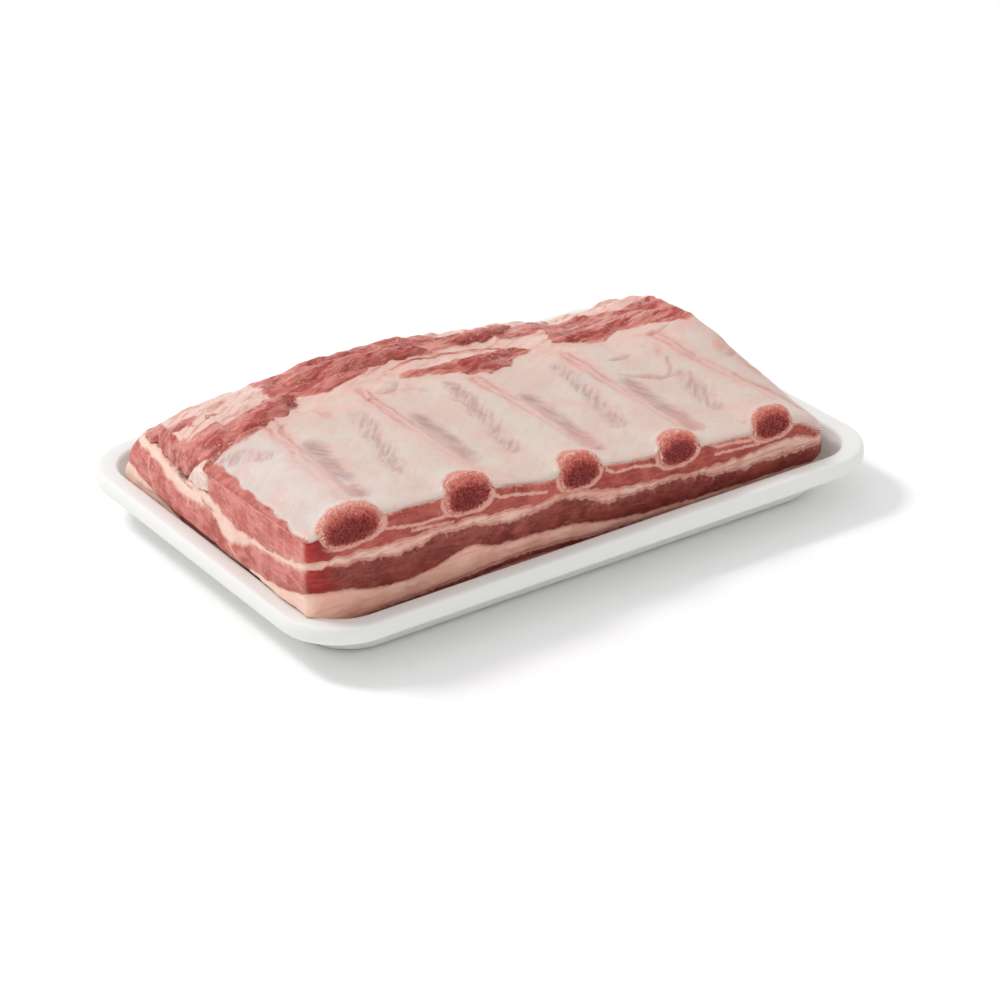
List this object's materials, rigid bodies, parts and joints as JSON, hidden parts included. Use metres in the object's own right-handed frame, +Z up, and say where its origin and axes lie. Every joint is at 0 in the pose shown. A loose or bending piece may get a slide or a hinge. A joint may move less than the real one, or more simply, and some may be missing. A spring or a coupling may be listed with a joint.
{
  "type": "raw pork roast on a tray",
  "caption": "Raw bone-in pork belly roast with layers of fat and lean, cut rib ends along one long side, lying rib side up on a shallow white foam tray.",
  "frame": {"origin": "middle of the underside of the tray", "axes": "+X along the long side of the tray, +Y away from the face with the cut rib ends, +Z up"},
  "size_m": [0.207, 0.14, 0.0469],
  "materials": {
    "foam": "matte",
    "fat": "moist satin",
    "lean": "moist satin",
    "dark_lean": "moist satin",
    "cover": "moist pearly",
    "bone": "matte porous",
    "tissue": "moist pearly"
  },
  "bodies": {
    "root": {"tray": "foam", "skin_fat": "fat", "lower_lean": "dark_lean", "belly_fat": "fat", "belly_lean": "dark_lean", "rib_fat": "fat", "rib_bone_1": "bone", "rib_bone_2": "bone", "rib_bone_3": "bone", "rib_bone_4": "bone", "rib_bone_5": "bone", "rib_lean_0": "lean", "rib_lean_1": "lean", "rib_lean_2": "lean", "rib_lean_3": "lean", "rib_lean_4": "lean", "rib_lean_5": "lean", "tissue_wedge": "tissue", "flank_chunk": "lean", "rib_cover": "cover", "flank_strip_left": "lean", "flank_strip_back": "lean", "flank_tongue": "lean", "flank_roll": "lean", "flank_strip_right": "lean"}
  },
  "joints": []
}
